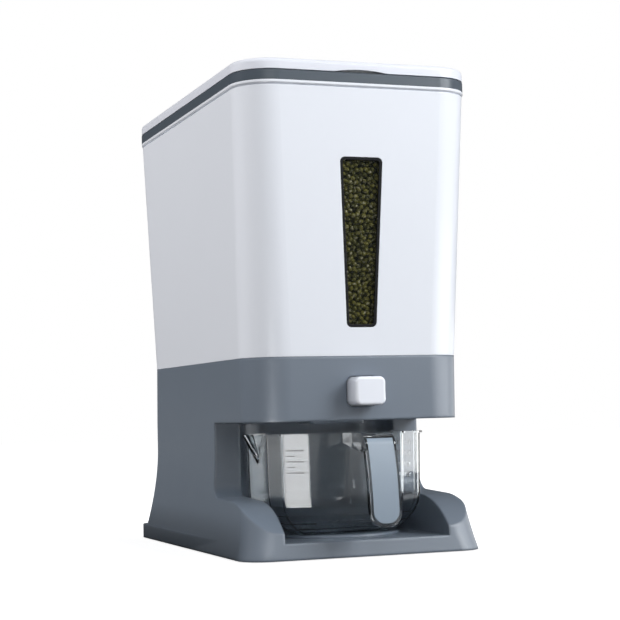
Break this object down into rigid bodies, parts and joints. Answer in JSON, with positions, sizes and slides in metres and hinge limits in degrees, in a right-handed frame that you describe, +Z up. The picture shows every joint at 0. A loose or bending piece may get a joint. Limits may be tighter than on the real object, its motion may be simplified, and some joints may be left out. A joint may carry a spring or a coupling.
{
  "type": "rice dispenser",
  "caption": "Tapered grain bin with hinged lid and sight window on a flared base; a push button opens a slotted gate over a pull-out clear cup in an open bay.",
  "frame": {"origin": "on the table, at the centre of the base's footprint", "axes": "+Z up; the window, button and cup face -Y and the lid's hinge is at +Y; +X to the right seen from the front"},
  "size_m": [0.197, 0.359, 0.377],
  "materials": {
    "housing_grey": "fine satin moulded plastic, warm blue-grey",
    "bin_white": "smooth semi-gloss moulded plastic, cool white",
    "frame_grey": "satin moulded plastic, mid grey",
    "lid_white": "smooth semi-gloss moulded plastic, cool white",
    "button_white": "smooth semi-gloss moulded plastic, white",
    "bezel_black": "glossy black moulded plastic",
    "window_clear": "clear moulded plastic",
    "cup_clear": "clear moulded plastic, faintly smoky",
    "inlay_grey": "satin grey plastic strip",
    "inner_white": "plain moulded plastic, off-white",
    "mechanism_grey": "plain moulded plastic, light grey",
    "soft_rubber": "matt soft rubber",
    "seal_rubber": "matt pale silicone",
    "plated_steel": "zinc-plated steel"
  },
  "bodies": {
    "frame": {"base_housing": "housing_grey", "base_floor": "housing_grey", "floor_screws": "plated_steel", "rubber_feet": "soft_rubber", "cup_rest": "housing_grey", "hopper_body": "bin_white", "hopper_funnel": "inner_white", "hopper_screws": "plated_steel", "gate_guide": "mechanism_grey", "gate_screws": "plated_steel", "outlet_chute": "mechanism_grey", "button_guide": "mechanism_grey", "return_spring": "plated_steel", "window_frame": "bezel_black", "window_pane": "window_clear", "rim_frame": "frame_grey", "hinge_pins": "plated_steel"},
    "button": {"button_cap": "button_white", "button_stem": "mechanism_grey", "gate_plate": "mechanism_grey"},
    "lid": {"lid_panel": "lid_white", "lid_liner": "inner_white", "lid_seal": "seal_rubber"},
    "cup": {"cup_shell": "cup_clear", "cup_handle": "cup_clear", "handle_inlay": "inlay_grey"}
  },
  "joints": [
    {"name": "button_press", "type": "slide", "parent": "frame", "child": "button", "axis": [0, 1, 0], "range_m": [0, 0.011], "stiffness_N_per_m": 250, "springref_m": -0.004, "deforming": ["return_spring"]},
    {"name": "lid_hinge", "type": "hinge", "parent": "frame", "child": "lid", "pos_m": [0, 0.1605, 0.366], "axis": [-1, 0, 0], "range_deg": [0, 100]},
    {"name": "cup_pull", "type": "slide", "parent": "frame", "child": "cup", "axis": [0, -1, 0], "range_m": [0, 0.15]}
  ]
}
